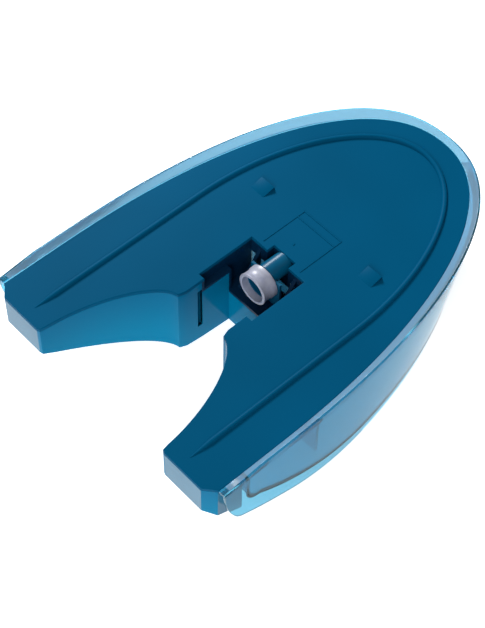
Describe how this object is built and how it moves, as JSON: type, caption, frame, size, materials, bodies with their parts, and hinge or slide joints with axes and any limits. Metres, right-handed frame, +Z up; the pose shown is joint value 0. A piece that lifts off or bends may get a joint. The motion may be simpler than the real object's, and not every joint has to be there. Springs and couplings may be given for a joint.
{
  "type": "water tank",
  "caption": "Removable horseshoe-shaped tinted water tank with a sealed outlet valve in its notch and a hinged fill flap on its nose.",
  "frame": {"origin": "centre of the bounding box's bottom face, with the tank lying on its top and its base plate up", "axes": "+X from the leg ends to the nose, the longest extent; +Y across the tank; +Z up, out of the base plate, the shortest extent"},
  "size_m": [0.285, 0.2012, 0.0633],
  "materials": {
    "tinted_plate": "moulded, fine satin, dark blue tint",
    "tinted_wall": "moulded, glossy, teal tint",
    "dark_well": "moulded, satin, dark blue tint",
    "clear_shell": "moulded clear plastic, polished",
    "clear_panel": "moulded clear plastic, polished",
    "clear_inner": "moulded clear plastic",
    "valve_moulding": "moulded, satin",
    "seat_rubber": "moulded rubber",
    "seal_silicone": "translucent moulded silicone",
    "plunger_plastic": "moulded acetal",
    "spring_steel": "drawn stainless wire",
    "strainer_gauze": "woven stainless gauze",
    "flap_plastic": "moulded, glossy, light tint"
  },
  "bodies": {
    "tank": {"base_plate": "tinted_plate", "notch_wall": "tinted_wall", "pocket_well": "dark_well", "well_end_wall": "clear_inner", "outer_shell": "clear_shell", "ceiling_panel": "clear_panel", "left_baffle": "clear_inner", "right_baffle": "clear_inner", "front_baffle": "clear_inner", "valve_body": "valve_moulding", "valve_seat": "seat_rubber", "outlet_seal": "seal_silicone", "valve_spring": "spring_steel", "spring_retainer": "plunger_plastic", "strainer_frame": "valve_moulding", "strainer_mesh": "strainer_gauze", "fill_frame": "clear_inner", "flap_hinge_pin": "spring_steel", "vent_valve": "seal_silicone"},
    "plunger": {"valve_plunger": "plunger_plastic", "plunger_o_ring": "seat_rubber"},
    "flap": {"fill_flap": "flap_plastic", "flap_gasket": "seal_silicone"}
  },
  "joints": [
    {"name": "valve_slide", "type": "slide", "parent": "tank", "child": "plunger", "axis": [1, 0, 0], "range_m": [0, 0.004], "stiffness_N_per_m": 150, "springref_m": -0.004, "deforming": ["valve_spring"]},
    {"name": "flap_hinge", "type": "hinge", "parent": "tank", "child": "flap", "pos_m": [0.1392, 0, 0.0462], "axis": [0, -1, 0], "range_deg": [0, 95]}
  ]
}
